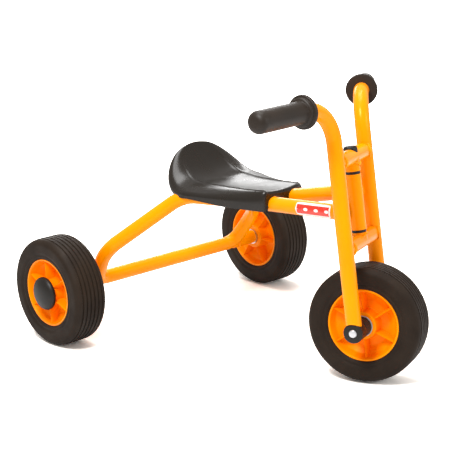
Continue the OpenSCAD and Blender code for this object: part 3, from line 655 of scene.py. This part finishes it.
# each wheel's centre, outward direction, body and the angle of its first rib
WHEELS = {"front": (AXLE, np.array(front_spin["axis"]), "front_wheel", 0.43),
          "right": (np.array([-WHEEL_X, REAR_Y, WHEEL_R]), np.array([-1.0, 0, 0]), "wheel_right", 0.62),
          "left": (np.array([WHEEL_X, REAR_Y, WHEEL_R]), np.array([1.0, 0, 0]), "wheel_left", 0.1)}
for name, (centre, direction, body, start) in WHEELS.items():
    add_piece("tyre_rubber_" + name, [turned(tyre_profile, centre, direction, 128)],
              TYRE_RUBBER, body, ["tyre_" + name], 50)
    ribs = [rib_grid(start + i * 2 * math.pi / RIBS, face, centre, direction)
            for i in range(RIBS) for face in (-1, 1)]
    add_piece("rim_moulding_" + name, [turned(rim_profile, centre, direction)] + ribs,
              ORANGE_PLASTIC, body, ["rim_" + name], 50)


# Hub caps: satin black plastic domes, moulded in one piece. They snap over the outer hubs of the
# two rear wheels, hide the clips on the axle ends and turn with the wheels.
CAP_R, CAP_RISE = 0.0245, 0.013
BLACK_PLASTIC = finished("black_plastic", (0.010, 0.007, 0.005), (0.007, 0.005, 0.003), 35, 1100, 0.38, 0.1,
                         0.15, 0.0002, specular=0.34)
dome = np.linspace(0, np.pi / 2, 22)
cap_foot = filleted([[0.012, 0.0004], [CAP_R - 0.0002, 0.0004], [CAP_R, 0.0022]], 0.0008)
cap_dome = np.stack([CAP_R * np.cos(dome) ** 0.92, 0.0024 + (CAP_RISE - 0.0026) * np.sin(dome)], 1)
cap_profile = np.concatenate([[[0.0, 0.0004]], cap_foot, cap_dome[1:]])
for name in ("right", "left"):
    centre, direction, body, _ = WHEELS[name]
    cap = turned(cap_profile, centre + direction * HUB_HALF, direction, closed=False)
    add_piece("hub_cap_dome_" + name, [cap], BLACK_PLASTIC, body, ["hub_cap_" + name], 50)


# Fork: two bent tubes, each leg and its half of the handlebar in one length, joined by two cross
# tubes and turned about the steering axis. Sleeves above and below the head tube meet its bushes.
FORK_RIGHTWARD = unit(np.array(front_spin["axis"])) * -1
FORK_REARWARD = unit(np.cross(STEER_AXIS, -FORK_RIGHTWARD))
LEG_OFF, BAR_HEIGHT, BAR_BEND, GRIP_FROM, GRIP_LENGTH = 0.059, 0.302, 0.050, 0.057, 0.104
LEG_SADDLE_R = 0.0132
CROSS_LOW, CROSS_HIGH, CROSS_WELD, COLLAR_IN, BUSH_FLANGE = 0.1115, 0.2265, 0.0068, 0.002, 0.0039
FORK_BEAD_R, CROSS_SADDLE, COLLAR_SADDLE = 0.0019, -0.0042, 0.0040
BAR_SWEEP = math.radians(15.5)


def in_fork(side, rearward, height):
    """A point from its distance to the rider's left, its distance rearward and its height."""
    return AXLE - FORK_RIGHTWARD * side + FORK_REARWARD * rearward + STEER_AXIS * height


bar_local = unit(np.array([math.cos(BAR_SWEEP), math.sin(BAR_SWEEP), 0.012]))
bar_dirs = {side: (-FORK_RIGHTWARD * bar_local[0] * side + FORK_REARWARD * bar_local[1]
                   + STEER_AXIS * bar_local[2]) for side in (-1, 1)}
for side, name in ((-1, "right"), (1, "left")):
    corner = in_fork(side * LEG_OFF, 0, BAR_HEIGHT)
    leg = rounded_path([in_fork(side * LEG_OFF, 0, 0.001), corner,
                        corner + bar_dirs[side] * (GRIP_FROM + GRIP_LENGTH - 0.017)], [BAR_BEND])
    leg_grid = tube_grid(leg, TUBE_R, FORK_REARWARD)
    saddle = np.sqrt(np.clip(LEG_SADDLE_R ** 2 - ((leg_grid - AXLE) @ FORK_REARWARD) ** 2, 0, None))
    short = np.clip(saddle - (leg_grid - AXLE) @ STEER_AXIS, 0, None)
    leg_grid = leg_grid + short[..., None] * STEER_AXIS
    leg_end = leg[0] + STEER_AXIS * (LEG_SADDLE_R + 0.004)
    add_piece("fork_tube_" + name, [(leg_grid, True, (leg_end, leg[-1]))],
              YELLOW_PAINT, "fork", ["fork_leg_" + name, "handlebar_" + name])
fork_beads = []
for name, height in (("lower", CROSS_LOW), ("upper", CROSS_HIGH)):
    cross = along(in_fork(-LEG_OFF, 0, height), in_fork(LEG_OFF, 0, height), 28)
    add_piece("cross_tube_" + name,
              [(tube_grid(cross, TUBE_R - 0.0001, STEER_AXIS), True, (cross[0], cross[-1]))],
              YELLOW_PAINT, "fork", ["fork_cross_" + name])
    for side in (-1, 1):
        fork_beads.append(bead_grid(in_fork(side * (LEG_OFF - CROSS_WELD), 0, height), FORK_RIGHTWARD * side,
                                    TUBE_R + 0.0004, FORK_BEAD_R, FORK_REARWARD, CROSS_SADDLE))
collars = {"lower": (CROSS_LOW + COLLAR_IN, HEAD_LOW - BUSH_FLANGE, CROSS_LOW + CROSS_WELD, -1),
           "upper": (HEAD_HIGH + BUSH_FLANGE, CROSS_HIGH - COLLAR_IN, CROSS_HIGH - CROSS_WELD, 1)}
for name, (low, high, weld_at, facing) in collars.items():
    sleeve = along(in_fork(0, 0, low), in_fork(0, 0, high), 8)
    add_piece("collar_sleeve_" + name,
              [(tube_grid(sleeve, TUBE_R, (0, 1, 0)), True, (sleeve[0], sleeve[-1]))],
              YELLOW_PAINT, "fork", ["collar_" + name])
    fork_beads.append(bead_grid(in_fork(0, 0, weld_at), STEER_AXIS * facing, TUBE_R + 0.0004,
                                BEAD_R, FORK_REARWARD, COLLAR_SADDLE))
add_piece("fork_welds", fork_beads, YELLOW_PAINT, "fork")


# Grips: soft black rubber sleeves pushed over the bar ends, closed and rounded at the end, with
# a two-step guard flange towards the fork.
GRIP_R, FLANGE_R = 0.015, 0.0225
BLACK_RUBBER = finished("grip_rubber", (0.020, 0.012, 0.007), (0.014, 0.009, 0.005), 30, 800, 0.42, 0.12,
                        0.22, 0.0004, specular=0.30)
tip = np.linspace(0, np.pi / 2, 12)
grip_side = filleted([[TUBE_R - 0.0004, 0.0], [FLANGE_R - 0.0008, 0.0], [FLANGE_R, 0.0012],
                      [FLANGE_R, 0.0044], [FLANGE_R - 0.001, 0.0055], [FLANGE_R - 0.0036, 0.0058],
                      [FLANGE_R - 0.0036, 0.0082], [FLANGE_R - 0.0052, 0.0096], [GRIP_R, 0.0102],
                      [GRIP_R, 0.04], [GRIP_R - 0.0001, GRIP_LENGTH - 0.011]], 0.0011)
grip_tip = np.stack([GRIP_R - 0.010 + 0.0099 * np.cos(tip), GRIP_LENGTH - 0.010 + 0.0099 * np.sin(tip)], 1)
grip_profile = np.concatenate([grip_side, grip_tip, [[0.0, GRIP_LENGTH]]])
for side, name in ((-1, "right"), (1, "left")):
    start = in_fork(side * LEG_OFF, 0, BAR_HEIGHT) + bar_dirs[side] * GRIP_FROM
    grip = turned(grip_profile, start, bar_dirs[side], closed=False)
    add_piece("grip_rubber_" + name, [grip], BLACK_RUBBER, "fork", ["grip_" + name], 50)


# Front axle: a 12 mm zinc-plated bar through both legs, held in grooved black nylon blocks, with
# a broad grey washer against each side of the hub.
BLOCK_R, BLOCK_IN, BLOCK_OUT = 0.0135, 0.0273, 0.067
BLOCK_GROOVES, BLOCK_GROOVE_DEEP, BLOCK_GROOVE_PITCH = 4, 0.0013, 0.005
AXLE_HALF, WASHER_IN = 0.068, 0.0253
ZINC = finished("zinc_steel", (0.66, 0.66, 0.67), (0.52, 0.52, 0.54), 60, 1400, 0.26, 0.16,
                0.08, 0.0002, metal=1.0)
WASHER_GREY = finished("washer_zinc", (0.55, 0.55, 0.56), (0.42, 0.42, 0.43), 70, 1300, 0.42, 0.12,
                       0.1, 0.0002, metal=0.85)
block_outline = [[AXLE_R, BLOCK_IN], [BLOCK_R - 0.0008, BLOCK_IN], [BLOCK_R, BLOCK_IN + 0.0008]]
for groove in range(BLOCK_GROOVES):
    edge = BLOCK_IN + 0.0035 + groove * BLOCK_GROOVE_PITCH
    block_outline += [[BLOCK_R, edge], [BLOCK_R - BLOCK_GROOVE_DEEP, edge + 0.0003],
                      [BLOCK_R - BLOCK_GROOVE_DEEP, edge + 0.0017], [BLOCK_R, edge + 0.002]]
block_outline += [[BLOCK_R, BLOCK_OUT - 0.0015], [BLOCK_R - 0.0015, BLOCK_OUT], [AXLE_R, BLOCK_OUT]]
block_profile = filleted(block_outline, 0.0004, 4)
axle_profile = filleted([[0.0, AXLE_HALF], [AXLE_R - 0.0012, AXLE_HALF],
                         [AXLE_R - 0.0001, AXLE_HALF - 0.0015],
                         [AXLE_R - 0.0001, 0.0015 - AXLE_HALF], [AXLE_R - 0.0012, -AXLE_HALF],
                         [0.0, -AXLE_HALF]], 0.0006)
washer_profile = filleted([[AXLE_R, WASHER_IN], [BLOCK_R + 0.0008, WASHER_IN],
                           [BLOCK_R + 0.001, WASHER_IN + 0.0003], [BLOCK_R + 0.001, BLOCK_IN - 0.0003],
                           [BLOCK_R + 0.0006, BLOCK_IN], [AXLE_R, BLOCK_IN]], 0.0003)
add_piece("axle_bar", [turned(axle_profile, AXLE, -FORK_RIGHTWARD, 64, False)], ZINC, "fork",
          ["front_axle"], 50)
for side, name in ((-1, "right"), (1, "left")):
    outward = -FORK_RIGHTWARD * side
    add_piece("axle_block_nylon_" + name, [turned(block_profile, AXLE, outward, 72)],
              BLACK_PLASTIC, "fork", ["axle_block_" + name], 40)
    add_piece("hub_washer_" + name, [turned(washer_profile, AXLE, outward, 72)],
              WASHER_GREY, "fork", ["front_washer_" + name], 40)


# Steering cap: a black plastic cover with a rounded top. It is pressed over the nut on top of the
# steering pin, where the pin comes through the upper cross tube.
PIN_CAP_RISE = 0.004
cap_top = CROSS_HIGH + TUBE_R + PIN_CAP_RISE
pin_cap_profile = filleted([[AXLE_R + 0.0034, CROSS_HIGH], [AXLE_R + 0.0034, cap_top - 0.0032],
                            [AXLE_R + 0.0022, cap_top - 0.0008], [0.0028, cap_top], [0.0, cap_top]], 0.0014)
add_piece("steering_cap", [turned(pin_cap_profile, AXLE, STEER_AXIS, 64, False)],
          BLACK_PLASTIC, "fork", ["pin_cap"], 40)


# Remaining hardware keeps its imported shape: bushes, plugs, straps, screws, clips and stub axles
# are turned or cut from stock, so only their finish is added here.
NYLON = finished("bush_nylon", (0.10, 0.10, 0.10), (0.07, 0.07, 0.07), 40, 900, 0.45, 0.1, 0.1, 0.0002)
STRAP_STEEL = finished("strap_steel", (0.07, 0.07, 0.07), (0.045, 0.045, 0.045), 30, 800, 0.4, 0.12,
                       0.15, 0.0003)
hardware = {"black_plastic": BLACK_PLASTIC, "bush_nylon": NYLON, "black_rubber": BLACK_RUBBER,
            "zinc_steel": ZINC, "dark_strap": STRAP_STEEL, "yellow_paint": YELLOW_PAINT,
            "seat_plastic": SEAT_PLASTIC, "tyre_rubber": TYRE_RUBBER,
            "orange_plastic": ORANGE_PLASTIC, "label_film": label_ink}
slots = {part["node"]: part["material_slot"] for part in frame["record"]["subparts"]}
for node, thing in frame["nodes"].items():
    thing.data.materials.clear()
    thing.data.materials.append(hardware[slots[node]])
